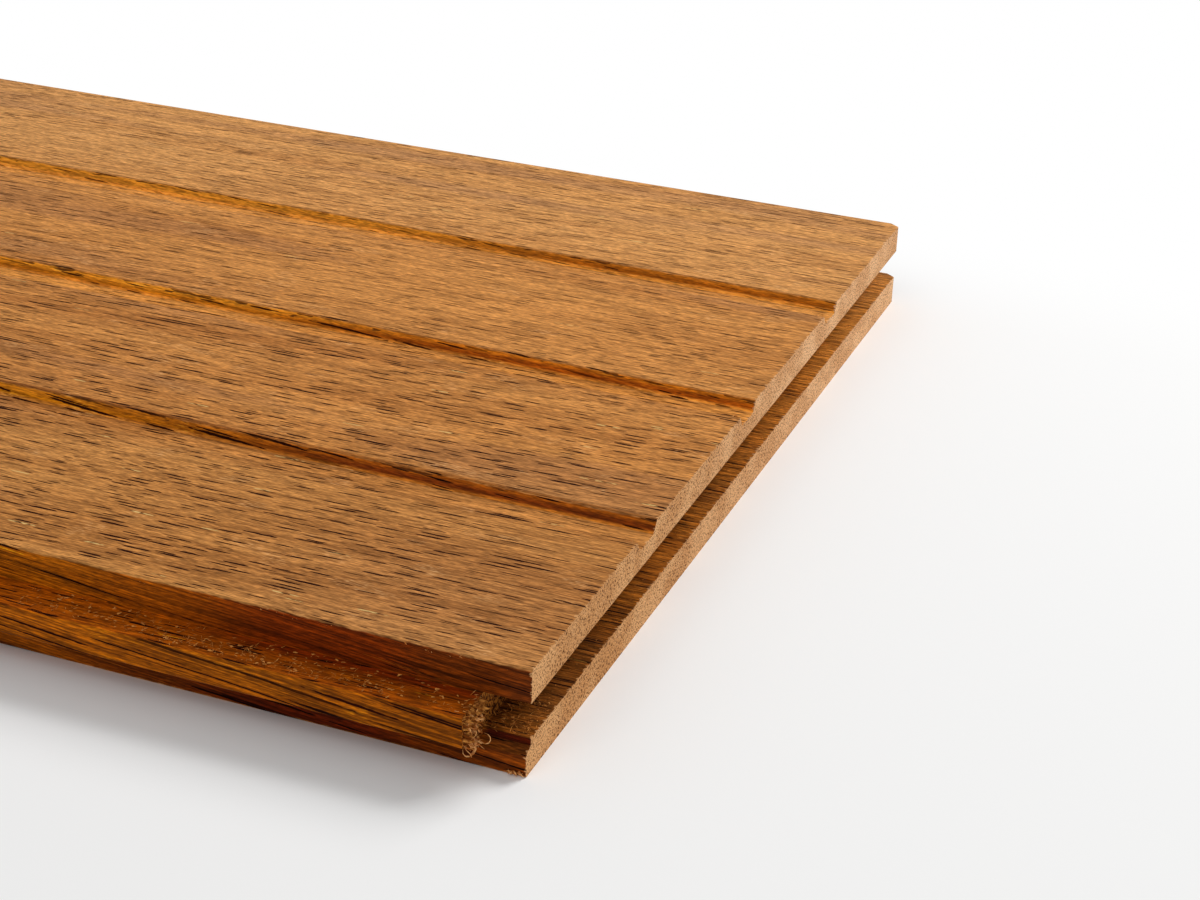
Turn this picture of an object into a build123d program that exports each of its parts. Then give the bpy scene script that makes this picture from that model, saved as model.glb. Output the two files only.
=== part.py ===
from build123d import *
import os

# Solid hardwood floorboard, tongued and grooved on the long edges and on the ends.
# It lies as it is stored: the wear face is down on z = 0 and the relieved back is up.
# x runs along the grain, from the end tongue (-x) to the end groove (+x).
# y runs across the board, from the long tongue (-y) to the long groove (+y).
# The origin is under the middle of the outline. All sizes are in millimetres.

# Board
thickness = 15.0
cover_width = 175.0  # width of floor that one board covers
cover_length = 900.0  # length of floor that one board covers
back_setback = 1.5  # the back is this much narrower, so that the wear faces close first
contact_height = 3.2  # upright strip above the wear face, where two boards touch
contact_slope = 0.8  # height of the slope from that strip in to the setback

# Tongues
tongue_reach = 4.5  # long tongue, measured from the contact strip
tongue_bottom = 5.1
tongue_root_top = 9.9
tongue_nose_top = 9.6
tongue_nose_radius = 0.35
end_tongue_reach = 6.2

# Grooves that take the tongues
groove_bottom = 5.0
groove_top = 10.2
long_groove_depth = 5.5
long_groove_floor_radius = 0.5
end_groove_depth = 6.8
end_groove_floor_radius = 0.4
mouth_ease = 0.4

# Relief grooves in the back
relief_count = 3
relief_pitch = 44.0
relief_shift = -1.8  # of the middle groove from the middle of the covered width
relief_depth = 1.8
relief_top_width = 7.6
relief_floor_width = 5.2
relief_floor_radius = 0.5

# Edges
back_arris_ease = 0.4
wear_arris_ease = 0.25
corner_break_along = 2.2  # upright corner where the end cutter leaves the wood
corner_break_across = 1.6

# Places along the board and across it
overall_length = cover_length + end_tongue_reach
overall_width = cover_width + tongue_reach
x_groove_end = overall_length / 2
x_tongue_tip = -overall_length / 2
y_groove_edge = overall_width / 2
y_contact = y_groove_edge - cover_width
y_back_edge = y_contact + back_setback
y_tongue_nose = y_contact - tongue_reach
y_relief_middle = y_groove_edge - cover_width / 2 + relief_shift
z_groove_middle = (groove_bottom + groove_top) / 2


def corners_at(shape, *points):
    """The corners of a flat shape that lie at the given points."""
    return [shape.vertices().sort_by_distance(point)[0] for point in points]


def groove_slot(depth, floor_radius):
    """Section of a groove for a tongue. Half of its length is the groove's depth."""
    slot = Rectangle(2 * depth, groove_top - groove_bottom)
    return fillet(slot.vertices(), floor_radius)


def board_section():
    """Section across the board, as (y, z): the body with the long tongue and groove."""
    outline = [
        (y_contact, 0),
        (y_contact, contact_height),
        (y_back_edge, contact_height + contact_slope),
        (y_back_edge, tongue_bottom),
        (y_tongue_nose, tongue_bottom),
        (y_tongue_nose, tongue_nose_top),
        (y_back_edge, tongue_root_top),
        (y_back_edge, thickness),
        (y_groove_edge, thickness),
        (y_groove_edge, 0),
    ]
    section = make_face(Polyline(*outline, close=True))
    nose = corners_at(section, (y_tongue_nose, tongue_bottom), (y_tongue_nose, tongue_nose_top))
    section = fillet(nose, tongue_nose_radius)

    slot = groove_slot(long_groove_depth, long_groove_floor_radius)
    section -= Pos(y_groove_edge, z_groove_middle) * slot
    mouth = corners_at(section, (y_groove_edge, groove_bottom), (y_groove_edge, groove_top))
    section = chamfer(mouth, mouth_ease)

    back_arrises = corners_at(section, (y_back_edge, thickness), (y_groove_edge, thickness))
    section = fillet(back_arrises, back_arris_ease)
    wear_arrises = corners_at(section, (y_contact, 0), (y_groove_edge, 0))
    return fillet(wear_arrises, wear_arris_ease)


def relief_section():
    """Section of one relief groove about its own middle, with rounded floor corners."""
    half_top = relief_top_width / 2
    half_floor = relief_floor_width / 2
    floor = thickness - relief_depth
    above = thickness + relief_depth
    half_above = 2 * half_top - half_floor
    corners = [(-half_floor, floor), (half_floor, floor), (half_above, above), (-half_above, above)]
    face = make_face(Polyline(*corners, close=True))
    return fillet(corners_at(face, *corners[:2]), relief_floor_radius)


def along_grain(section):
    """A section, drawn as (y, z), run over the whole length of the board."""
    start = Plane(origin=(x_tongue_tip, 0, 0), x_dir=(0, 1, 0), z_dir=(1, 0, 0))
    return extrude(start * section, overall_length)


def end_groove():
    """Slot across the +x end. It also cuts the long tongue back to the same depth."""
    middle = Plane(origin=(x_groove_end, 0, z_groove_middle), x_dir=(1, 0, 0), z_dir=(0, 1, 0))
    slot = groove_slot(end_groove_depth, end_groove_floor_radius)
    return extrude(middle * slot, overall_width, both=True)


def end_shoulders():
    """Wood cut away above and below the end tongue, at the -x end."""
    cutter = Box(2 * end_tongue_reach, 2 * overall_width, thickness)
    above = Pos(x_tongue_tip, 0, tongue_root_top + thickness / 2) * cutter
    below = Pos(x_tongue_tip, 0, tongue_bottom - thickness / 2) * cutter
    return above + below


def broken_corner():
    """Wood that broke away at the upright corner of the grooved end and the grooved edge."""
    corner = [
        (x_groove_end, y_groove_edge),
        (x_groove_end, y_groove_edge - corner_break_across),
        (x_groove_end - corner_break_along, y_groove_edge),
    ]
    return extrude(make_face(Polyline(*corner, close=True)), thickness)


board = along_grain(board_section())
for place in range(relief_count):
    from_middle = (place - (relief_count - 1) / 2) * relief_pitch
    board -= along_grain(Pos(y_relief_middle + from_middle, 0) * relief_section())
board -= end_groove()
board -= end_shoulders()
board -= broken_corner()
board.label = "floorboard"

os.makedirs("parts", exist_ok=True)
export_step(board, "parts/floorboard.step")
print(board.bounding_box(), "solids", len(board.solids()), "volume cm3", board.volume / 1000)
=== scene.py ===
import math
import random
from typing import NamedTuple

import bpy
from mathutils import Euler, Matrix, Quaternion, Vector


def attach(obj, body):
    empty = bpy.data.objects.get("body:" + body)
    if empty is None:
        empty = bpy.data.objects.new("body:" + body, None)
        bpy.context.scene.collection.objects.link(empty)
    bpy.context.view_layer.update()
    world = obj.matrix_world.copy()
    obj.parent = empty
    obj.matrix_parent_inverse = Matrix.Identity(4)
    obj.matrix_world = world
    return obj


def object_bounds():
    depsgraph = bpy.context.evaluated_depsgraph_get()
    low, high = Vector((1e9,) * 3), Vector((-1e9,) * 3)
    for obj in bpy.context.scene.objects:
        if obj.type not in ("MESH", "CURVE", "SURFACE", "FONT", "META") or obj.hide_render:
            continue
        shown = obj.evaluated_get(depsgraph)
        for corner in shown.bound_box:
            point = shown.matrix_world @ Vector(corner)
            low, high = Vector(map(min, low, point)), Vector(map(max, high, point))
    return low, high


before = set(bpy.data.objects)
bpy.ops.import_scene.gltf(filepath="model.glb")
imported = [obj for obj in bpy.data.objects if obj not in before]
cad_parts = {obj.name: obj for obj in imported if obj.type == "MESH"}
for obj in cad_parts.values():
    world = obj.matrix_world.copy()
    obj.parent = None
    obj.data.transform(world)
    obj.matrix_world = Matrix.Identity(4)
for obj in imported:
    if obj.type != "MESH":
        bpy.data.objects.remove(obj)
CAD_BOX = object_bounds()

bl_info = {
    "name": "Hardwood floorboard",
    "version": (1, 0, 0),
    "blender": (4, 5, 0),
    "location": "View3D > Sidebar > Floorboard",
    "description": "Finishes a moulded hardwood floorboard and sets the studio around it",
    "category": "Object",
}

# Places on the board in millimetres: x runs along the grain, y across the board and z up.
# The wear face is down, and the back with its three relief grooves is up.

MM = 0.001

TONGUED_END, TONGUE_NOSE, WEAR_FACE = (round(corner / MM, 2) for corner in CAD_BOX[0])
GROOVED_END, GROOVED_EDGE, BACK = (round(corner / MM, 2) for corner in CAD_BOX[1])
MID_HEIGHT = (WEAR_FACE + BACK) / 2

TONGUE_REACH = 4.5
BACK_SETBACK = 1.5
CONTACT_HEIGHT = 3.2
TONGUE_BOTTOM = 5.1
TONGUE_TOP = 9.6
CONTACT_STRIP = TONGUE_NOSE + TONGUE_REACH
BACK_EDGE = CONTACT_STRIP + BACK_SETBACK

SLOT_DEPTH = 6.8
SLOT_BOTTOM = 5.0
SLOT_FLOOR = GROOVED_END - SLOT_DEPTH
END_TONGUE_REACH = 6.2
END_SHOULDER = TONGUED_END + END_TONGUE_REACH

RELIEF_PITCH = 44.0
RELIEF_MIDDLE = 0.45
RELIEF_HALF_WIDTH = 3.8
RELIEF_DEPTH = 1.8
RELIEF_FLOOR = BACK - RELIEF_DEPTH
RELIEF_GROOVES = [RELIEF_MIDDLE + turn * RELIEF_PITCH for turn in (-1, 0, 1)]
NEAR_ARRIS = RELIEF_GROOVES[0] + RELIEF_HALF_WIDTH


# Settings that a user would change


class FLOORBOARD_PG_wood(bpy.types.PropertyGroup):
    """Colours and grain of the planed hardwood."""

    golden: bpy.props.FloatVectorProperty(
        name="Golden wood", description="Lightest colour of the planed faces",
        default=(0.58, 0.268, 0.076), size=3, min=0, max=1, subtype="COLOR",
    )
    brown: bpy.props.FloatVectorProperty(
        name="Brown wood", description="Usual colour of the planed faces",
        default=(0.41, 0.165, 0.04), size=3, min=0, max=1, subtype="COLOR",
    )
    dusky: bpy.props.FloatVectorProperty(
        name="Dusky wood", description="Colour of the greyish patches along the grain",
        default=(0.385, 0.178, 0.065), size=3, min=0, max=1, subtype="COLOR",
    )
    vessel: bpy.props.FloatVectorProperty(
        name="Open vessel", description="Colour inside an open vessel line",
        default=(0.022, 0.0035, 0.0008), size=3, min=0, max=1, subtype="COLOR",
    )
    deposit: bpy.props.FloatVectorProperty(
        name="Vessel deposit", description="Colour of the pale matter that fills a few vessels",
        default=(0.72, 0.47, 0.17), size=3, min=0, max=1, subtype="COLOR",
    )
    end_grain: bpy.props.FloatVectorProperty(
        name="End grain", description="Colour of the sawn ends",
        default=(0.67, 0.37, 0.16), size=3, min=0, max=1, subtype="COLOR",
    )
    fibre: bpy.props.FloatVectorProperty(
        name="Torn fibre", description="Colour of the fibres that stand off the wood",
        default=(0.95, 0.49, 0.18), size=3, min=0, max=1, subtype="COLOR",
    )
    grain_dip: bpy.props.FloatProperty(
        name="Grain dip", description="Angle at which the grain runs down out of the back",
        default=0.072, min=0, max=0.3, subtype="ANGLE", unit="ROTATION",
    )
    vessel_spacing: bpy.props.FloatProperty(
        name="Vessel spacing", description="Distance between large vessels on the end grain",
        default=0.0008, min=0.0003, max=0.003, subtype="DISTANCE", unit="LENGTH",
    )


class FLOORBOARD_PG_studio(bpy.types.PropertyGroup):
    """Floor, lamps and camera."""

    floor: bpy.props.FloatVectorProperty(
        name="Floor", description="Colour of the floor",
        default=(0.9, 0.9, 0.895), size=3, min=0, max=1, subtype="COLOR",
    )
    key_power: bpy.props.FloatProperty(
        name="Key lamp", description="Power of the lamp behind the grooved edge",
        default=11.0, min=0, max=100, subtype="POWER", unit="POWER",
    )
    front_power: bpy.props.FloatProperty(
        name="Front lamp", description="Power of the lamp in front of the tongued edge",
        default=3.1, min=0, max=100, subtype="POWER", unit="POWER",
    )
    sky_strength: bpy.props.FloatProperty(
        name="Sky", description="Strength of the even light from all round",
        default=0.43, min=0, max=2,
    )
    camera_place: bpy.props.FloatVectorProperty(
        name="Camera", description="Where the camera stands",
        default=(0.54788, -0.30958, 0.1664), size=3, subtype="TRANSLATION", unit="LENGTH",
    )
    camera_turn: bpy.props.FloatVectorProperty(
        name="Camera angles", description="How the camera is turned",
        default=(1.112822, -0.029299, 0.381238), size=3, subtype="EULER", unit="ROTATION",
    )
    camera_lens: bpy.props.FloatProperty(
        name="Lens", description="Focal length on a 36 mm sensor",
        default=69.38, min=10, max=300,
    )


# Shader helpers


def rgba(colour):
    return (*colour, 1.0)


class Shader:
    """Adds nodes to a new material, each labelled with what it makes."""

    def __init__(self, name):
        self.material = bpy.data.materials.new(name)
        self.material.use_nodes = True
        self.tree = self.material.node_tree
        self.tree.nodes.clear()

    def node(self, kind, label, **settings):
        made = self.tree.nodes.new(kind)
        made.label = label
        for key, value in settings.items():
            setattr(made, key, value)
        return made

    def feed(self, socket, value):
        if isinstance(value, bpy.types.NodeSocket):
            self.tree.links.new(value, socket)
        else:
            socket.default_value = value

    def maths(self, label, operation, first, second=0.0, third=0.0, clamp=False):
        made = self.node("ShaderNodeMath", label, operation=operation, use_clamp=clamp)
        for socket, value in zip(made.inputs, (first, second, third)):
            self.feed(socket, value)
        return made.outputs[0]

    def times(self, label, *factors):
        """Product of the factors. A product of masks is set only where all of them are."""
        product = factors[0]
        for factor in factors[1:]:
            product = self.maths(label, "MULTIPLY", product, factor)
        return product

    def plus(self, label, total, part, share, clamp=False):
        """The total with a share of one more part."""
        return self.maths(label, "MULTIPLY_ADD", part, share, total, clamp)

    def unless(self, label, mask):
        return self.maths(label, "SUBTRACT", 1.0, mask)

    def size_of(self, label, value):
        return self.maths(label, "ABSOLUTE", value)

    def step(self, label, value, low, high, start=0.0, end=1.0):
        """Goes smoothly from start to end as value goes from low to high."""
        made = self.node("ShaderNodeMapRange", label, interpolation_type="SMOOTHSTEP")
        for socket, item in zip(made.inputs, (value, low, high, start, end)):
            self.feed(socket, item)
        return made.outputs[0]

    def vector(self, label, operation, first, second=(0, 0, 0), scale=1.0):
        made = self.node("ShaderNodeVectorMath", label, operation=operation)
        self.feed(made.inputs[0], first)
        self.feed(made.inputs[1], second)
        if operation == "SCALE":
            self.feed(made.inputs["Scale"], scale)
        return made.outputs["Value" if operation == "LENGTH" else "Vector"]

    def split(self, label, vector):
        made = self.node("ShaderNodeSeparateXYZ", label)
        self.feed(made.inputs[0], vector)
        return made.outputs["X"], made.outputs["Y"], made.outputs["Z"]

    def blend(self, label, factor, first, second, kind="MIX"):
        made = self.node("ShaderNodeMix", label, data_type="RGBA", blend_type=kind, clamp_factor=True)
        self.feed(made.inputs["Factor"], factor)
        for socket, colour in zip(made.inputs[6:8], (first, second)):
            self.feed(socket, colour if isinstance(colour, bpy.types.NodeSocket) else rgba(colour))
        return made.outputs[2]

    def tinted(self, label, colour, tint):
        return self.blend(label, 1.0, colour, tint, "MULTIPLY")

    def shaded(self, label, colour, shade):
        return self.vector(label, "SCALE", colour, scale=shade)

    def object_mm(self):
        place = self.node("ShaderNodeTexCoord", "Place on the board").outputs["Object"]
        return self.vector("Millimetres", "SCALE", place, scale=1 / MM)

    def noise(self, label, place, size, detail, roughness, colour=False):
        """Noise whose blotches are about size millimetres along x, y and z."""
        scaled = self.vector(label + " size", "MULTIPLY", place, [1 / length for length in size])
        made = self.node("ShaderNodeTexNoise", label, noise_dimensions="3D")
        self.feed(made.inputs["Vector"], scaled)
        made.inputs["Scale"].default_value = 1.0
        made.inputs["Detail"].default_value = detail
        made.inputs["Roughness"].default_value = roughness
        return made.outputs["Color" if colour else "Fac"]

    def tubes(self, label, section, spacing):
        """Distance from the nearest tube's middle over the spacing, and three lots that each tube draws."""
        scaled = self.vector(label + " spacing", "SCALE", section, scale=1 / spacing)
        made = self.node("ShaderNodeTexVoronoi", label, voronoi_dimensions="2D", feature="F1")
        self.feed(made.inputs["Vector"], scaled)
        made.inputs["Scale"].default_value = 1.0
        made.inputs["Randomness"].default_value = 1.0
        lots = self.node("ShaderNodeSeparateColor", label + " lots")
        self.feed(lots.inputs[0], made.outputs["Color"])
        return made.outputs["Distance"], lots.outputs

    def skin(self, label, colour, roughness, gloss, height, relief, strength):
        """Dull skin whose relief follows height. The relief is in metres."""
        bump = self.node("ShaderNodeBump", label + " relief")
        bump.inputs["Strength"].default_value = strength
        bump.inputs["Distance"].default_value = relief
        self.feed(bump.inputs["Height"], height)
        made = self.node("ShaderNodeBsdfPrincipled", label)
        self.feed(made.inputs["Base Color"], colour)
        self.feed(made.inputs["Roughness"], roughness)
        self.feed(made.inputs["Normal"], bump.outputs["Normal"])
        made.inputs["Specular IOR Level"].default_value = gloss
        self.output(made.outputs[0])

    def output(self, surface):
        made = self.node("ShaderNodeOutputMaterial", "Output")
        self.feed(made.inputs["Surface"], surface)


# Hardwood


class Hardwood(Shader):
    """Planed and moulded hardwood: vessel dashes on the back, lines on the edges, pores on the ends."""

    def __init__(self, wood):
        super().__init__("hardwood_planed")
        self.wood = wood
        self.mm = self.object_mm()
        self.x, self.y, self.z = self.split("Where on the board", self.mm)
        self.find_facing()
        self.run_grain()
        self.lay_patterns()
        self.bore_vessels()
        self.find_moulding()
        self.tear_pits()

    def find_facing(self):
        normal = self.node("ShaderNodeNewGeometry", "Facing").outputs["True Normal"]
        along, across, upright = self.split("Facing split", normal)
        self.is_end = self.step("Is end grain", self.size_of("Faces along the grain", along), 0.45, 0.75)
        self.is_level = self.step("Faces up or down", self.size_of("Upright part", upright), 0.8, 0.97)
        self.far_facing = self.step("Faces the grooved edge", across, 0.1, 0.4)

    def run_grain(self):
        """The grain dips out of the back, turns a little and waves slowly and quickly."""
        turned = self.node("ShaderNodeMapping", "Grain dip", vector_type="TEXTURE")
        self.feed(turned.inputs["Vector"], self.mm)
        turned.inputs["Rotation"].default_value = (0, self.wood.grain_dip, 0.012)
        slow = self.noise("Slow wave", self.mm, (130, 45, 45), 0.0, 0.5, colour=True)
        slow = self.vector("Slow wave reach", "MULTIPLY", slow, (0, 4.5, 4.5))
        quick = self.noise("Quick wave", self.mm, (26, 7, 7), 0.0, 0.5, colour=True)
        quick = self.vector("Quick wave reach", "MULTIPLY", quick, (0, 0.6, 0.6))
        grain = self.vector("Grain with slow wave", "ADD", turned.outputs["Vector"], slow)
        self.grain = self.vector("Grain", "ADD", grain, quick)

    def lay_patterns(self):
        self.grit = self.noise("Grit", self.mm, (1.5, 0.2, 0.2), 1.0, 0.7)
        self.speck = self.noise("Specks", self.mm, (1.5, 0.34, 0.34), 1.0, 0.6)
        self.lines = self.noise("Fine lines", self.grain, (90, 0.7, 0.7), 3.0, 0.8)
        self.edge_lines = self.noise("Edge lines", self.grain, (200, 0.42, 0.42), 3.0, 0.8)
        self.bands = self.noise("Bands", self.grain, (380, 8, 8), 2.0, 0.6)
        self.side = self.step("Zone across the board", self.y, -70.0, 60.0)

    def bore_vessels(self):
        """Endless tubes along the grain, which the grain's dip cuts into dashes on the back."""
        _, across, upright = self.split("Grain split", self.grain)
        section = self.node("ShaderNodeCombineXYZ", "Across the grain")
        self.feed(section.inputs["X"], across)
        self.feed(section.inputs["Y"], upright)
        uneven = self.plus("Unevenness", 0.35, self.speck, 1.3)

        near, lots = self.tubes("Vessels", section.outputs[0], self.wood.vessel_spacing / MM)
        bore = self.plus("Vessel bore", 0.1, lots["Red"], 0.14)
        crowd = self.step("Vessel crowding", self.bands, 0.38, 0.58, 0.7, 1.12)
        finer = self.step("Finer side", self.side, 0.3, 1.0, 1.0, 0.76)
        crowd = self.times("Crowding by zone", crowd, finer)
        bore = self.times("Uneven bore", bore, self.times("Bore change", uneven, crowd))
        rim = self.maths("Vessel rim", "ADD", bore, 0.03)
        self.vessel = self.step("Vessel", near, rim, self.times("Vessel lip", bore, 0.88))
        outer = self.times("Outer bore", bore, 1.1)
        self.heart = self.step("Vessel heart", near, outer, self.times("Inner bore", bore, 0.75))
        filled = self.step("Filled vessel", lots["Green"], 0.975, 0.98)
        gaps = self.step("Filling gaps", self.speck, 0.42, 0.55)
        self.filled = self.times("Broken filling", filled, gaps)
        shallow = self.step("Shallow vessel", lots["Blue"], 0.05, 0.35, 0.6, 1.0)
        paler = self.step("Paler side", self.side, 0.3, 1.0, 1.0, 0.9)
        self.vessel_mark = self.times("Vessel strength", self.vessel, shallow, paler)

        near, lots = self.tubes("Small vessels", section.outputs[0], 0.48)
        bore = self.times("Small bore", self.plus("Small lot", 0.08, lots["Red"], 0.16), uneven)
        rim = self.maths("Small rim", "ADD", bore, 0.06)
        self.small_vessel = self.step("Small vessel", near, rim, bore)

    def find_moulding(self):
        """Moulded faces lie below the back and above the wear face, with ragged arrises."""
        about_zero = self.maths("Specks about zero", "SUBTRACT", self.speck, 0.5)
        ragged = self.times("Ragged arris", about_zero, 0.35)
        from_middle = self.maths("From mid height", "SUBTRACT", self.z, MID_HEIGHT)
        height = self.size_of("Height from the middle", from_middle)
        height = self.maths("Ragged height", "ADD", height, ragged)
        moulded = self.step("Is moulded", height, MID_HEIGHT - 0.08, MID_HEIGHT - 0.35)
        self.moulded = self.times("Is moulded and not end", moulded, self.unless("Not end", self.is_end))
        high = self.step("Is high", self.z, RELIEF_FLOOR - 0.3, RELIEF_FLOOR - 0.1)
        inboard = self.step("Is inboard", self.size_of("Distance from the middle", self.y), 70.0, 60.0)
        self.relief = self.times("Is relief groove", high, inboard)
        self.past_near = self.step("Middle or far groove", self.y, -40.0, -4.0)
        self.past_middle = self.step("Far groove", self.y, 5.0, 40.0)
        # Where the painted shade on the tongued edge turns red.
        self.red_part = self.step("Red zone starts", self.x, 396.0, 418.0)

    def tear_pits(self):
        """Pits that the cutters tore in the walls of the relief grooves, most of them near the arris."""
        tear = self.noise("Tears", self.mm, (5.0, 0.9, 0.9), 2.0, 0.6)
        rim = self.step("Fewer pits low on the wall", self.z, BACK - 0.8, BACK - 0.3, 0.7, 0.57)
        heart = self.step("Pit heart", self.z, BACK - 0.8, BACK - 0.3, 0.74, 0.62)
        tear = self.step("Torn pit", tear, rim, heart)
        groove = self.times("Groove wall or floor", self.relief, self.moulded)
        self.tear = self.times("Torn pit on a wall", tear, groove, self.unless("Not floor", self.is_level))

    def planed_face(self):
        """Colour of the planed back and wear face, with the vessels in it."""
        tone = self.plus("Tone", self.times("Tone from lines", self.lines, 0.35), self.bands, 0.75)
        # Towards the grooved edge the tone turns more golden: painted light, with the land tints.
        tone = self.plus("Tone by zone", tone, self.side, -0.14)
        browner = self.step("Browner", tone, 0.32, 0.72)
        face = self.blend("Golden to brown", browner, self.wood.golden, self.wood.brown)
        dusk = self.noise("Dusky patches", self.grain, (150, 11, 11), 1.0, 0.5)
        duskier = self.step("Duskier", dusk, 0.52, 0.68, 0.0, 0.65)
        face = self.blend("Dusky patch", duskier, face, self.wood.dusky)

        shade = self.times(
            "Line, speck and grit shade",
            self.step("Line shade", self.lines, 0.33, 0.67, 1.28, 0.74),
            self.step("Speck shade", self.speck, 0.3, 0.7, 0.93, 1.07),
            self.step("Grit shade", self.grit, 0.25, 0.75, 0.63, 1.39),
        )
        face = self.tinted("Zone and shade", face, self.shaded("Shaded zone", self.lands_painted_light_and_shade(), shade))

        patch = self.noise("Fuzzy patches", self.mm, (9, 4, 4), 1.0, 0.5)
        hairs = self.step("Fuzz fibres", self.grit, 0.5, 0.7, 0.0, 0.5)
        fuzz = self.times("Fuzz", hairs, self.step("Fuzzy places", patch, 0.6, 0.72))
        face = self.blend("Raised fibres", fuzz, face, (0.74, 0.44, 0.2))

        small_mark = self.times("Small vessel strength", self.small_vessel, 0.42)
        face = self.blend("Small vessel mark", small_mark, face, (0.17, 0.05, 0.01))
        inside = self.blend("Vessel inside", self.heart, (0.1, 0.016, 0.002), self.wood.vessel)
        inside = self.blend("Vessel filling", self.filled, inside, self.wood.deposit)
        return self.blend("Vessel mark", self.vessel_mark, face, inside)

    def lands_painted_light_and_shade(self):
        """The four lands that the grooves leave differ a little: painted light and sheen make them lighter
        and bluer towards the grooved edge, and the near end of the near land is duller. Past the near
        groove's arris a strip takes the wall's painted shade.
        """
        middle_zone = self.step("Middle zone", self.y, -55.0, -30.0)
        tint = self.blend("Near or middle lands", middle_zone, (0.92, 0.87, 0.8), (0.98, 0.89, 0.78))
        # Painted sheen: the far land is lighter and bluer.
        tint = self.blend("Far land", self.step("Far zone", self.y, 35.0, 60.0), tint, (1.07, 1.08, 1.15))
        near_end = self.times(
            "Near end of the near land",
            self.step("Near end", self.x, 395.0, 435.0),
            self.step("Near land", self.y, -45.0, -70.0),
        )
        tint = self.blend("Duller near end", near_end, tint, (0.81, 0.76, 0.78))
        # Painted shade: a strip of land past the near groove's arris takes the colour of the shaded wall.
        arris = self.times(
            "Painted shade past the near arris",
            self.step("Arris starts", self.y, NEAR_ARRIS - 0.1, NEAR_ARRIS),
            self.step("Arris ends", self.y, NEAR_ARRIS + 0.6, NEAR_ARRIS + 0.3),
        )
        return self.blend("Painted arris shade", arris, tint, (0.62, 0.47, 0.28))

    def by_groove(self, label, near, middle, far):
        """A tint that differs between the near, middle and far relief groove."""
        tint = self.blend(label + ", near or middle", self.past_near, near, middle)
        return self.blend(label, self.past_middle, tint, far)

    def groove_painted_shading(self):
        """Relief grooves: orange walls in painted shade, lighter at the top and darker low down, plainer away
        from the grooved end, and a paler floor in painted light.
        """
        # Painted shade: the walls are lighter at the top and darker low down, as the shade in the grooves
        # falls.
        wall_top = self.by_groove("Wall top", (0.92, 0.55, 0.09), (1.5, 1.06, 0.18), (1.09, 0.75, 0.15))
        wall_low = self.by_groove("Low wall", (0.45, 0.2, 0.032), (0.86, 0.44, 0.035), (0.74, 0.44, 0.042))
        down = self.step("Down the wall", self.z, BACK - 0.3, BACK - 1.0)
        wall = self.blend("Wall", down, wall_top, wall_low)

        # Away from the grooved end the painted shade on the walls is plainer.
        plain_top = self.by_groove("Plain wall top", (1.95, 1.7, 0.32), (1.95, 1.85, 0.5), (1.6, 1.4, 0.38))
        plain_low = self.by_groove("Plain low wall", (1.45, 1.25, 0.09), (1.12, 0.9, 0.11), (1.2, 1.08, 0.34))
        down = self.step("Down the plain wall", self.z, BACK - 0.4, BACK - 1.2)
        plain_wall = self.blend("Plain wall", down, plain_top, plain_low)
        plain = self.step("Away from the grooved end", self.x, 410.0, 350.0, 0.0, 0.85)
        wall = self.blend("Plainer wall by length", plain, wall, plain_wall)

        # A lighter foot is painted where the wall meets the floor, as light falls on a rounded foot.
        near_foot = self.blend("Foot of the near groove", plain, (1.25, 0.98, 0.4), (1.9, 1.8, 1.0))
        foot = self.blend("Foot", self.past_near, near_foot, (1.75, 1.5, 0.7))
        foot_top = self.step("Foot top", self.y, 10.0, 35.0, RELIEF_FLOOR + 0.55, RELIEF_FLOOR + 0.7)
        foot_end = self.maths("Foot end", "SUBTRACT", foot_top, 0.4)
        near_floor = self.step("Near the floor", self.z, foot_top, foot_end)
        wall = self.blend("Painted light on a rounded foot", near_floor, wall, foot)
        # Walls that face the grooved edge take a milder copy of the painted shade.
        wall = self.blend("Wall that faces the grooved edge", self.far_facing, wall, (0.72, 0.5, 0.24))

        # Painted light: the groove floors are lighter than the lands, most in the middle groove.
        floor = self.by_groove("Groove floor", (1.0, 0.98, 0.98), (1.24, 1.21, 1.02), (1.14, 1.08, 0.9))
        return self.blend("Groove wall or floor tint", self.is_level, wall, floor)

    def painted_shade_along_edge(self, label, light, plain, red, brown):
        """Painted shade on the tongued edge, which reddens and then browns towards the grooved end."""
        light_ends = self.step("Light part ends", self.x, 380.0, 397.0)
        tint = self.blend(label, light_ends, light, plain)
        tint = self.blend(label + ", red zone", self.red_part, tint, red)
        brown_end = self.step("Brown end starts", self.x, 430.0, 442.0)
        return self.blend(label + ", brown end", brown_end, tint, brown)

    def upright_edge_painted_shade(self):
        """Painted shade on the upright faces of both edges, drawn with long dark lines."""
        upper = self.painted_shade_along_edge(
            "Upper edge", (0.93, 0.58, 0.036), (0.72, 0.38, 0.029), (0.4, 0.125, 0.01), (0.35, 0.15, 0.03),
        )
        lip = self.painted_shade_along_edge(
            "Lip", (0.7, 0.4, 0.025), (0.46, 0.21, 0.03), (0.31, 0.08, 0.015), (0.56, 0.25, 0.025),
        )
        above = self.step("Above the tongue", self.z, TONGUE_TOP, TONGUE_TOP + 0.5)
        below = self.step("Below the tongue", self.z, SLOT_BOTTOM, SLOT_BOTTOM - 0.6)
        # The nose is painted lighter than the shaded faces above and below it.
        tint = self.blend("Nose or upper edge", above, (1.0, 0.62, 0.027), upper)
        tint = self.blend("Nose, upper edge or lip", below, tint, lip)
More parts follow.
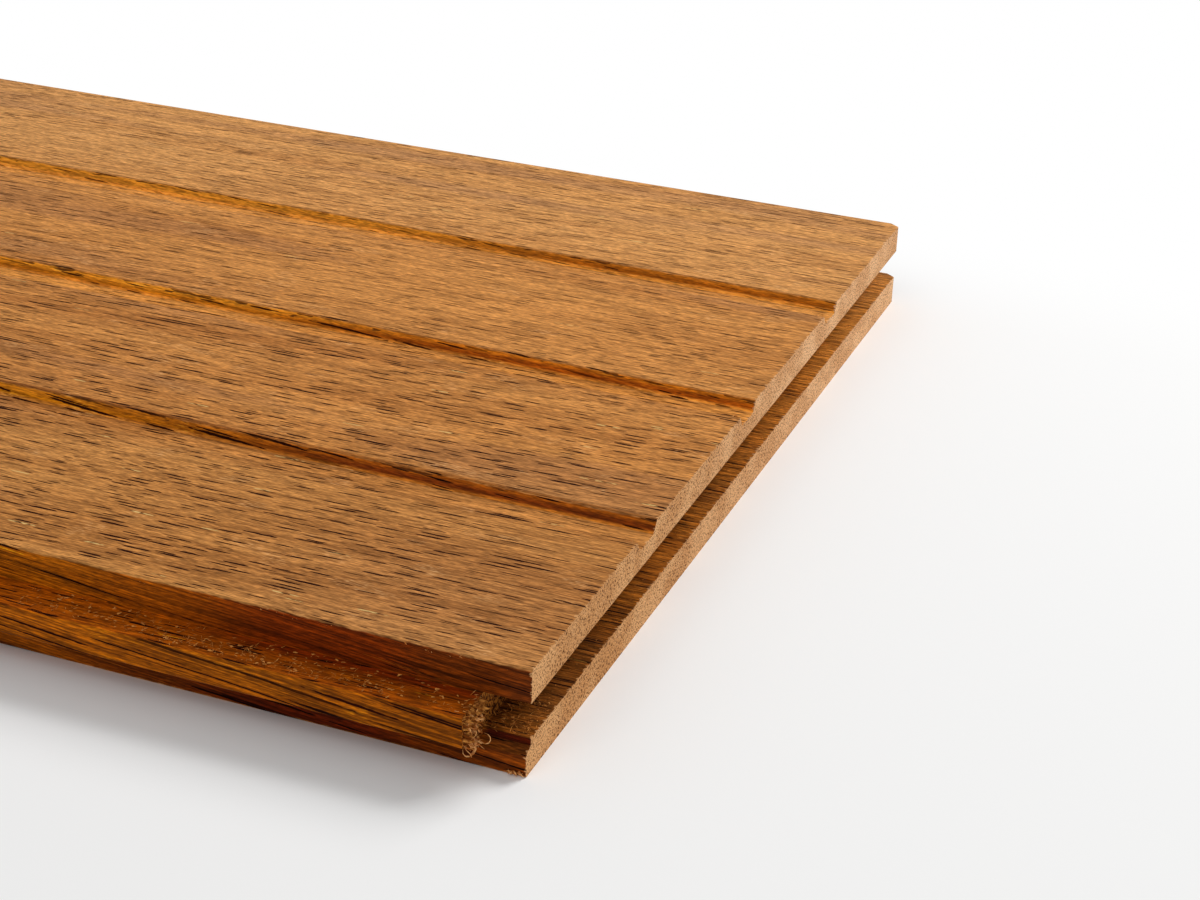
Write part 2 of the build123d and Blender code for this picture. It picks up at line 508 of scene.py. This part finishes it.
        # Painted shade: a dark band on the recessed face below the end groove.
        dark_band = self.times(
            "Dark band below the end groove",
            self.step("Band starts", self.x, SLOT_FLOOR + 0.1, SLOT_FLOOR + 1.1),
            self.step("Band bottom", self.z, CONTACT_HEIGHT + 0.1, CONTACT_HEIGHT + 0.6),
            self.step("Band top", self.z, SLOT_BOTTOM + 0.6, SLOT_BOTTOM + 0.2),
        )
        tint = self.blend("Edge with dark band", dark_band, tint, (0.2, 0.045, 0.008))
        # The grooved edge takes a milder copy of the same painted shade.
        return self.blend("Grooved edge", self.far_facing, tint, (0.72, 0.46, 0.14))

    def level_edge_grain_and_painted_shade(self, long_lines):
        """Painted shade on the level faces of the tongues, the lip and the end groove, drawn with grain
        lines.
        """
        # Painted shade in the corner at the tongue's root.
        near_root = self.step("Near the root", self.y, TONGUE_NOSE + 2.55, BACK_EDGE - 0.65)
        root = self.times("Painted shade at the tongue's root", self.red_part, near_root)
        tint = self.blend("Tongue and lip", root, (0.92, 0.46, 0.026), (0.48, 0.13, 0.014))
        soft_lines = self.step("Soft lines", self.edge_lines, 0.4, 0.6, 1.18, 0.68)
        tint = self.shaded("Lined tongue", tint, soft_lines)
        # Painted shade in the end groove, lighter towards the grooved edge.
        slot = self.blend("Slot by zone", self.side, (0.58, 0.41, 0.16), (0.98, 0.8, 0.42))
        in_slot = self.step("Inside the end groove", self.x, SLOT_FLOOR - 0.5, SLOT_FLOOR + 0.3)
        tint = self.blend("Tongue or slot", in_slot, tint, self.shaded("Lined slot", slot, long_lines))
        # The end tongue takes a milder copy of the painted shade.
        end_tongue = self.step("End tongue", self.x, END_SHOULDER + 0.9, END_SHOULDER - 0.1)
        return self.blend("Long or end tongue", end_tongue, tint, (0.8, 0.56, 0.22))

    # Painted shade on the moulded faces, drawn with long grain lines.
    def moulding_grain_and_painted_shade(self):
        long_lines = self.step("Long lines", self.edge_lines, 0.39, 0.59, 1.32, 0.52)
        upright = self.shaded("Lined edge", self.upright_edge_painted_shade(), long_lines)
        edge = self.blend("Upright or level", self.is_level, upright, self.level_edge_grain_and_painted_shade(long_lines))
        return self.blend("Edge or relief groove", self.relief, edge, self.groove_painted_shading())

    def sawn_end(self):
        """Colour of the sawn ends: fine pores, and a torn slot darkened with painted shade."""
        browner = self.step("Browner bands", self.bands, 0.35, 0.6)
        end = self.blend("End bands", browner, self.wood.end_grain, (0.56, 0.28, 0.107))
        # Painted light: the sawn end turns lighter and bluer towards the grooved edge.
        zone = self.blend("Painted light across the end", self.side, (0.97, 0.92, 0.87), (1.16, 1.22, 1.42))
        end = self.tinted("End by zone", end, zone)
        shade = self.step("End grit shade", self.grit, 0.25, 0.75, 0.64, 1.4)
        end = self.tinted("Gritty end", end, self.shaded("Grit grey", (1, 1, 1), shade))
        small_pores = self.times("Small pore strength", self.small_vessel, 0.85)
        end = self.blend("Small end pores", small_pores, end, (0.15, 0.055, 0.016))
        end = self.blend("End pores", self.times("Pore strength", self.heart, 0.8), end, (0.07, 0.02, 0.005))
        in_slot = self.times(
            "Is inside the end slot",
            self.step("Past the slot floor", self.x, SLOT_FLOOR - 1.3, SLOT_FLOOR - 0.3),
            self.step("Before the end", self.x, GROOVED_END - 1.6, GROOVED_END - 2.6),
        )
        # Partly torn wood, partly painted shade: the inside of the end slot is darkened where its shade
        # falls.
        paler = self.step("Paler specks", self.speck, 0.4, 0.6)
        torn = self.blend("Torn slot in painted shade", paler, (0.06, 0.012, 0.001), (0.5, 0.17, 0.022))
        return self.blend("End or torn slot", in_slot, end, torn)

    def is_sawn(self):
        """The saw chipped the arris of the ends, so their colour runs a little way on to the back."""
        chips = self.noise("Chips", self.mm, (1.4, 0.55, 0.55), 1.0, 0.6)
        from_middle = self.size_of("Distance along the board", self.x)
        reach = self.maths("Chipped length", "ADD", from_middle, self.plus("Chip reach", -0.8, chips, 1.6))
        chipped = self.step("Is chipped", reach, GROOVED_END - 0.15, GROOVED_END + 0.05)
        chipped = self.times("Chip strength", chipped, 0.8)
        return self.maths("Is sawn or chipped", "MAXIMUM", self.is_end, chipped)

    def height(self):
        """Relief of the surface: sunk vessels and pits, raised grit."""
        height = self.times("Vessel depth", self.vessel, -1.0)
        height = self.plus("Small vessel depth", height, self.small_vessel, -0.3)
        rougher = self.step("Rougher ends", self.is_end, 0, 1, 0.45, 1.2)
        height = self.plus("Grit relief", height, self.grit, rougher)
        height = self.plus("Pit depth", height, self.tear, -3.0)
        moulding_grit = self.times("Moulding grit", self.moulded, self.grit)
        return self.plus("Rougher mouldings", height, moulding_grit, 0.8)

    def roughness(self):
        rough = self.plus("Roughness from lines", 0.42, self.lines, 0.2)
        rough = self.plus("Roughness in vessels", rough, self.vessel, 0.25)
        return self.plus("Roughness of ends", rough, self.is_end, 0.2, clamp=True)


def make_hardwood(wood):
    s = Hardwood(wood)
    face = s.planed_face()
    # Painted shade: the moulded edges and relief grooves are darkened and reddened for the shade they lie in.
    deep = s.tinted("Painted shade on the mouldings", face, s.moulding_grain_and_painted_shade())
    face = s.blend("Moulded wood", s.moulded, face, deep)
    face = s.blend("Pit colour", s.times("Pit strength", s.tear, 0.85), face, (0.07, 0.022, 0.005))
    colour = s.blend("Face or end", s.is_sawn(), face, s.sawn_end())
    s.skin("Planed hardwood", colour, s.roughness(), 0.05, s.height(), relief=0.12 * MM, strength=0.6)
    return s.material


# Torn fibres


def make_fibre(name, pale, deep):
    """Torn fibres: dull and uneven, from pale to deep."""
    s = Shader(name)
    mm = s.object_mm()
    tone = s.noise("Tone", mm, (0.8, 0.8, 0.8), 1.0, 0.6)
    grit = s.noise("Fibre grit", mm, (0.08, 0.08, 0.08), 1.0, 0.6)
    colour = s.blend("Pale to deep", s.step("Deeper", tone, 0.35, 0.65), pale, deep)
    rough = s.plus("Dullness", 0.65, grit, 0.2)
    s.skin("Torn fibre", colour, rough, 0.02, grit, relief=0.03 * MM, strength=0.5)
    return s.material


class Strand:
    """One torn fibre, which grows along +x from its root and bends as it goes.

    Its length and width are given in millimetres.
    """

    SIDES = 5
    FLATNESS = 0.45
    BODY_TAPER = 0.92
    TIP_TAPER = 0.45

    def __init__(self, length, width, bends):
        self.length = length * MM
        self.width = width * MM
        self.bends = bends

    def model(self, name):
        bpy.ops.object.select_all(action="DESELECT")
        bpy.ops.mesh.primitive_circle_add(
            vertices=self.SIDES, radius=self.width / 2, fill_type="NGON",
            location=(0, 0, 0), rotation=(0, math.pi / 2, 0),
        )
        strand = bpy.context.object
        strand.name = name
        bpy.ops.object.transform_apply(location=True, rotation=True, scale=True)
        bpy.ops.object.mode_set(mode="EDIT")
        bpy.ops.mesh.select_all(action="SELECT")
        bpy.ops.transform.resize(value=(1, 1, self.FLATNESS))
        tip, heading = Vector((0, 0, 0)), 0.0
        for place, bend in enumerate(self.bends):
            heading += bend
            step = Vector((math.cos(heading), 0, math.sin(heading))) * self.length / len(self.bends)
            bpy.ops.mesh.extrude_region_move(TRANSFORM_OT_translate={"value": step})
            tip += step
            bpy.ops.transform.rotate(value=bend, orient_axis="Y", center_override=tip)
            taper = self.BODY_TAPER if place < len(self.bends) - 2 else self.TIP_TAPER
            bpy.ops.transform.resize(value=(taper, taper, taper), center_override=tip)
        bpy.ops.mesh.select_all(action="SELECT")
        bpy.ops.mesh.normals_make_consistent(inside=False)
        bpy.ops.object.mode_set(mode="OBJECT")
        bpy.ops.object.shade_smooth()
        return strand


STRANDS = {
    "hair": Strand(1.3, 0.16, (0.1, 0.2, 0.15, -0.1, -0.25, -0.2)),
    "curl": Strand(1.6, 0.22, (0.35, 0.5, 0.55, 0.6, 0.6, 0.5)),
    "wisp": Strand(1.0, 0.12, (-0.3, -0.2, 0.3, 0.5, 0.3, -0.2)),
    "shaving": Strand(2.8, 0.34, (-0.2, -0.4, -0.6, -0.7, -0.7, -0.6, -0.5)),
    "splinter": Strand(1.7, 0.75, (0.05, 0.1, -0.15, -0.1, 0.2)),
    "sliver": Strand(1.2, 0.5, (-0.1, 0.25, 0.3, -0.2, 0.1)),
}


class Patch(NamedTuple):
    """A block of wood that fibres grow from. Its two corners are measured from a place on the board."""

    place: tuple
    low: tuple
    high: tuple
    fibres: int
    strands: tuple  # kinds to choose from
    heading: tuple  # way in which most of them point
    spread: tuple  # how far they stray from that way
    size: float  # times the size of the strand

    def draw_spot(self, chance):
        sides = zip(self.place, self.low, self.high)
        return Vector([chance.uniform(at + low, at + high) * MM for at, low, high in sides])

    def draw_turn(self, chance):
        way = Vector([along + chance.gauss(0, stray) for along, stray in zip(self.heading, self.spread)])
        roll = Quaternion((1, 0, 0), chance.uniform(0, 2 * math.pi))
        return way.to_track_quat("X", "Z") @ roll


SMALLEST, LARGEST = 0.5, 1.3
TRIES_FOR_EACH = 60


def is_inside_board(points):
    low, high = CAD_BOX
    return all(a < c < b for point in points for a, c, b in zip(low, point, high))


def lay_fibres(name, patches, finish, seed):
    """Copies the strands to their patches, joins them and leaves one piece at the origin."""
    chance = random.Random(seed)
    models = {kind: strand.model(f"strand_{kind}") for kind, strand in STRANDS.items()}
    copies = []
    for patch in patches:
        laid, tries = 0, 0
        while laid < patch.fibres:
            tries += 1
            if tries > TRIES_FOR_EACH * patch.fibres:
                raise RuntimeError(f"{name}: the fibres do not fit inside the board's outline")
            model = models[chance.choice(patch.strands)]
            spot = patch.draw_spot(chance)
            turn = patch.draw_turn(chance)
            size = patch.size * chance.uniform(SMALLEST, LARGEST)
            pose = Matrix.LocRotScale(spot, turn, Vector((size, size, size)))
            if not is_inside_board([pose @ vertex.co for vertex in model.data.vertices]):
                continue
            copy = model.copy()
            copy.data = model.data.copy()
            copy.matrix_world = pose
            bpy.context.scene.collection.objects.link(copy)
            copies.append(copy)
            laid += 1
    bpy.ops.object.select_all(action="DESELECT")
    for item in copies:
        item.select_set(True)
    bpy.context.view_layer.objects.active = copies[0]
    bpy.ops.object.join()
    bpy.ops.object.transform_apply(location=True, rotation=True, scale=True)
    piece = bpy.context.object
    piece.name = name
    piece.data.materials.clear()
    piece.data.materials.append(finish)
    for model in models.values():
        bpy.data.objects.remove(model)
    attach(piece, "root")


CHUNKS = ("splinter", "sliver")
HAIRS = ("hair", "curl", "sliver")
FINE_HAIRS = ("hair", "curl", "wisp")
THIN_HAIRS = ("hair", "wisp")
SHAVINGS = ("shaving",)
CURLS = ("curl", "shaving")
BURRS = ("curl", "shaving", "sliver")
ARRIS_HAIRS = ("hair", "wisp", "sliver")
FUZZ = ("hair", "sliver")


def lay_tongue_end_splinters(finish):
    """Broken wood all over the end of the long tongue, where the end cutter went through it."""
    at = (SLOT_FLOOR, TONGUE_NOSE, TONGUE_BOTTOM)
    lay_fibres("tongue_end_splinters", (
        Patch(at, (-0.7, 0.45, 3.7), (0, 5.75, 4.5), 40, CHUNKS, (1, 0, 0.05), (0.2, 0.35, 0.25), 0.95),
        Patch(at, (-0.7, 0.25, 0.3), (0, 0.95, 4.2), 36, CHUNKS, (1, 0, 0), (0.2, 0.3, 0.35), 0.95),
        Patch(at, (-0.7, 0.75, 0.2), (0.1, 5.75, 4.2), 90, CHUNKS, (1, 0, 0), (0.3, 0.5, 0.5), 0.8),
    ), finish, seed=11)


def lay_tongue_end_fibres(finish):
    """Hairs and curls that hang from the end of the long tongue."""
    at = (SLOT_FLOOR, TONGUE_NOSE, TONGUE_BOTTOM)
    lay_fibres("tongue_end_fibres", (
        Patch(at, (-0.1, 0.35, 0.3), (0.6, 3.15, 4.2), 44, HAIRS, (0.7, -0.2, -0.7), (0.4, 0.6, 0.6), 1.15),
        Patch(at, (-0.1, 3.15, 0.2), (0.6, 5.85, 4.5), 26, HAIRS, (0, 0, -1), (0.5, 0.4, 0.3), 1.1),
        Patch(at, (-0.1, 0.35, 0), (0.5, 3.75, 0.5), 16, FINE_HAIRS, (0.6, -0.2, -0.9), (0.3, 0.4, 0.3), 1.2),
        Patch(at, (0.5, 1.35, -0.1), (1.1, 2.95, 0.5), 5, SHAVINGS, (0.5, -0.1, -1), (0.2, 0.3, 0.2), 1.25),
        Patch(at, (-1.7, 0.95, 4.4), (0, 5.75, 4.8), 20, THIN_HAIRS, (0.9, 0, 0.3), (0.3, 0.6, 0.2), 0.8),
    ), finish, seed=3)


def lay_corner_splinters(finish):
    """A little broken wood at the low corner of the grooved end."""
    at = (GROOVED_END, CONTACT_STRIP, WEAR_FACE)
    lay_fibres("corner_splinters", (
        Patch(
            at, (-1.9, -0.25, 0.35), (-0.6, 0.25, 0.8), 16, CHUNKS, (0.8, -0.6, -0.1), (0.5, 0.4, 0.05), 0.55,
        ),
        Patch(
            at, (-2.7, -0.25, 0.35), (-0.8, 0.15, 0.6), 8, CURLS, (0.3, -0.8, -0.1), (0.6, 0.3, 0.05), 0.45,
        ),
    ), finish, seed=5)


def lay_groove_end_burrs(finish):
    """Burrs where the relief grooves leave the end, and along the arris of the back."""
    low, high = (-2.5, -3.45, -1.1), (-0.5, -2.65, -0.4)
    patches = [
        Patch((GROOVED_END, middle, BACK), low, high, count, BURRS, (0.4, 0.5, 0.3), (0.4, 0.4, 0.2), 0.5)
        for middle, count in zip(RELIEF_GROOVES, (12, 9, 7))
    ]
    at = (GROOVED_END, BACK_EDGE, BACK)
    low, high = (-58.1, -0.15, -0.8), (-1.1, 0.05, -0.2)
    patches.append(Patch(at, low, high, 26, ARRIS_HAIRS, (1, -0.5, 0.1), (0.3, 0.3, 0.1), 0.35))
    lay_fibres("groove_end_burrs", patches, finish, seed=9)


def lay_end_groove_fibres(finish):
    """Fibres on the lower cheek of the end groove, thicker near the tongue."""
    at = (SLOT_FLOOR, BACK_EDGE, SLOT_BOTTOM)
    far = GROOVED_EDGE - BACK_EDGE - 3.75
    lay_fibres("end_groove_fibres", (
        Patch(at, (0.5, 0.05, 0), (6.3, 9.75, 0.15), 190, FINE_HAIRS, (1, 0, 0), (0.6, 0.7, 0.25), 0.6),
        Patch(at, (0.3, 9.75, 0), (6.1, far, 0.1), 300, FINE_HAIRS, (1, 0, 0), (0.6, 0.7, 0.15), 0.45),
    ), finish, seed=6)


def lay_tongue_fuzz(finish):
    """Short fuzz on top of the long tongue, with a rougher stretch near its end."""
    at = (SLOT_FLOOR, TONGUE_NOSE, TONGUE_TOP)
    start = END_SHOULDER - SLOT_FLOOR + 6.9
    lay_fibres("tongue_fuzz", (
        Patch(at, (-66.3, 0.95, 0), (-0.3, 5.75, 0.35), 420, FUZZ, (1, 0, 0.2), (0.3, 0.5, 0.15), 0.5),
        Patch(at, (-44.3, 0.55, 0), (-10.3, 2.95, 0.2), 160, HAIRS, (1, 0, 0.3), (0.4, 0.7, 0.2), 0.55),
        Patch(at, (start, 0.95, 0), (-66.3, 5.75, 0.35), 900, FUZZ, (1, 0, 0.2), (0.3, 0.5, 0.15), 0.5),
    ), finish, seed=8)


# Studio. Its sizes and places are in metres.

FLOOR_SIZE = 12.0
SHADOW_MIDDLE = (0.43, -0.02, 0.0)
WHITENS_FROM, WHITE_FROM = 0.11, 0.6
WHITENS_BEHIND, WHITE_BEHIND = 0.08, 0.125
LAMP_AIM = Vector((0.36, 0.0, 0.0))
SENSOR_WIDTH = 36


def make_floor(studio):
    """White paper floor. It keeps the board's shadow and fades to white further off."""
    s = Shader("studio_paper")
    place = s.node("ShaderNodeTexCoord", "Place on the floor").outputs["Object"]
    offset = s.vector("From the board's end", "SUBTRACT", place, SHADOW_MIDDLE)
    away = s.vector("Distance from the end", "LENGTH", offset)
    _, across, _ = s.split("Place split", place)
    far = s.step("Far floor", away, WHITENS_FROM, WHITE_FROM)
    behind = s.step("Behind the board", across, WHITENS_BEHIND, WHITE_BEHIND)
    seen = s.maths("White floor", "MAXIMUM", far, behind)
    paper = s.node("ShaderNodeBsdfDiffuse", "Paper")
    s.feed(paper.inputs["Color"], rgba(studio.floor))
    white = s.node("ShaderNodeEmission", "White")
    white.inputs["Strength"].default_value = 1.0
    light = s.node("ShaderNodeLightPath", "Seen by the camera")
    mixed = s.node("ShaderNodeMixShader", "Paper to white")
    s.feed(mixed.inputs[0], s.times("White that is seen", seen, light.outputs["Is Camera Ray"]))
    s.feed(mixed.inputs[1], paper.outputs[0])
    s.feed(mixed.inputs[2], white.outputs[0])
    s.output(mixed.outputs[0])
    return s.material


def add_lamp(name, place, size, power):
    lamp = bpy.data.lights.new(name, "AREA")
    lamp.shape = "SQUARE"
    lamp.size = size
    lamp.energy = power
    stand = bpy.data.objects.new(name, lamp)
    stand.location = place
    stand.rotation_euler = (LAMP_AIM - Vector(place)).to_track_quat("-Z", "Y").to_euler()
    bpy.context.scene.collection.objects.link(stand)


def make_world(studio):
    """Even light from all round, which the camera sees as white."""
    world = bpy.data.worlds.new("studio_world")
    world.use_nodes = True
    tree = world.node_tree
    tree.nodes.clear()
    light = tree.nodes.new("ShaderNodeLightPath")
    sky = tree.nodes.new("ShaderNodeBackground")
    sky.inputs["Color"].default_value = rgba((1, 1, 1))
    strength = tree.nodes.new("ShaderNodeMapRange")
    strength.inputs["To Min"].default_value = studio.sky_strength
    strength.inputs["To Max"].default_value = 1.0
    tree.links.new(light.outputs["Is Camera Ray"], strength.inputs["Value"])
    tree.links.new(strength.outputs[0], sky.inputs["Strength"])
    out = tree.nodes.new("ShaderNodeOutputWorld")
    tree.links.new(sky.outputs[0], out.inputs["Surface"])
    return world


def add_camera(studio):
    camera = bpy.data.cameras.new("photo_camera")
    camera.sensor_width = SENSOR_WIDTH
    camera.lens = studio.camera_lens
    camera.clip_start = 0.01
    camera.clip_end = 50
    seat = bpy.data.objects.new("photo_camera", camera)
    seat.location = studio.camera_place
    seat.rotation_euler = Euler(studio.camera_turn, "XYZ")
    bpy.context.scene.collection.objects.link(seat)
    return seat


# Operators


class FLOORBOARD_OT_board(bpy.types.Operator):
    """Give the moulded board its hardwood finish"""

    bl_idname = "floorboard.board"
    bl_label = "Board"

    def execute(self, context):
        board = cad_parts["floorboard"]
        if not board.material_slots:
            raise RuntimeError("the floorboard node has no material slot")
        hardwood = make_hardwood(context.scene.floorboard_wood)
        for slot in board.material_slots:
            slot.material = hardwood
        return {"FINISHED"}


class FLOORBOARD_OT_fibres(bpy.types.Operator):
    """Lay the torn fibres that the cutters left at the tongue end, the corner and the grooves"""

    bl_idname = "floorboard.fibres"
    bl_label = "Torn fibres"

    def execute(self, context):
        fibre = make_fibre("torn_fibre", context.scene.floorboard_wood.fibre, (0.45, 0.13, 0.02))
        fuzz = make_fibre("raised_fuzz", (0.72, 0.3, 0.07), (0.45, 0.15, 0.03))
        torn = make_fibre("torn_wood", (0.66, 0.27, 0.055), (0.18, 0.045, 0.006))
        lay_tongue_end_splinters(torn)
        lay_tongue_end_fibres(fibre)
        lay_corner_splinters(fibre)
        lay_groove_end_burrs(fibre)
        lay_end_groove_fibres(fuzz)
        lay_tongue_fuzz(fuzz)
        return {"FINISHED"}


class FLOORBOARD_OT_studio(bpy.types.Operator):
    """Set the paper floor, the lamps, the world and the camera"""

    bl_idname = "floorboard.studio"
    bl_label = "Studio"

    def execute(self, context):
        scene, studio = context.scene, context.scene.floorboard_studio
        bpy.ops.object.select_all(action="DESELECT")
        bpy.ops.mesh.primitive_plane_add(size=FLOOR_SIZE, location=(0, 0, 0))
        floor = context.object
        floor.name = "studio_floor"
        floor.data.materials.append(make_floor(studio))
        add_lamp("key_lamp", place=(0.95, 0.76, 0.82), size=0.5, power=studio.key_power)
        add_lamp("front_lamp", place=(0.3, -0.9, 1.0), size=0.9, power=studio.front_power)
        scene.world = make_world(studio)
        scene.camera = add_camera(studio)
        scene.view_settings.view_transform = "Standard"
        return {"FINISHED"}


class FLOORBOARD_PT_panel(bpy.types.Panel):
    """Lists the steps that finish the floorboard"""

    bl_idname = "FLOORBOARD_PT_panel"
    bl_label = "Floorboard"
    bl_space_type = "VIEW_3D"
    bl_region_type = "UI"
    bl_category = "Floorboard"

    def draw(self, context):
        for operator in (FLOORBOARD_OT_board, FLOORBOARD_OT_fibres, FLOORBOARD_OT_studio):
            self.layout.operator(operator.bl_idname)
        for settings in (context.scene.floorboard_wood, context.scene.floorboard_studio):
            for name in settings.__annotations__:
                self.layout.prop(settings, name)


CLASSES = (
    FLOORBOARD_PG_wood,
    FLOORBOARD_PG_studio,
    FLOORBOARD_OT_board,
    FLOORBOARD_OT_fibres,
    FLOORBOARD_OT_studio,
    FLOORBOARD_PT_panel,
)


def register():
    for item in CLASSES:
        bpy.utils.register_class(item)
    bpy.types.Scene.floorboard_wood = bpy.props.PointerProperty(type=FLOORBOARD_PG_wood)
    bpy.types.Scene.floorboard_studio = bpy.props.PointerProperty(type=FLOORBOARD_PG_studio)


def unregister():
    del bpy.types.Scene.floorboard_studio
    del bpy.types.Scene.floorboard_wood
    for item in reversed(CLASSES):
        bpy.utils.unregister_class(item)


def main():
    register()
    bpy.ops.floorboard.board()
    bpy.ops.floorboard.fibres()
    bpy.ops.floorboard.studio()


if __name__ == "__main__":
    main()
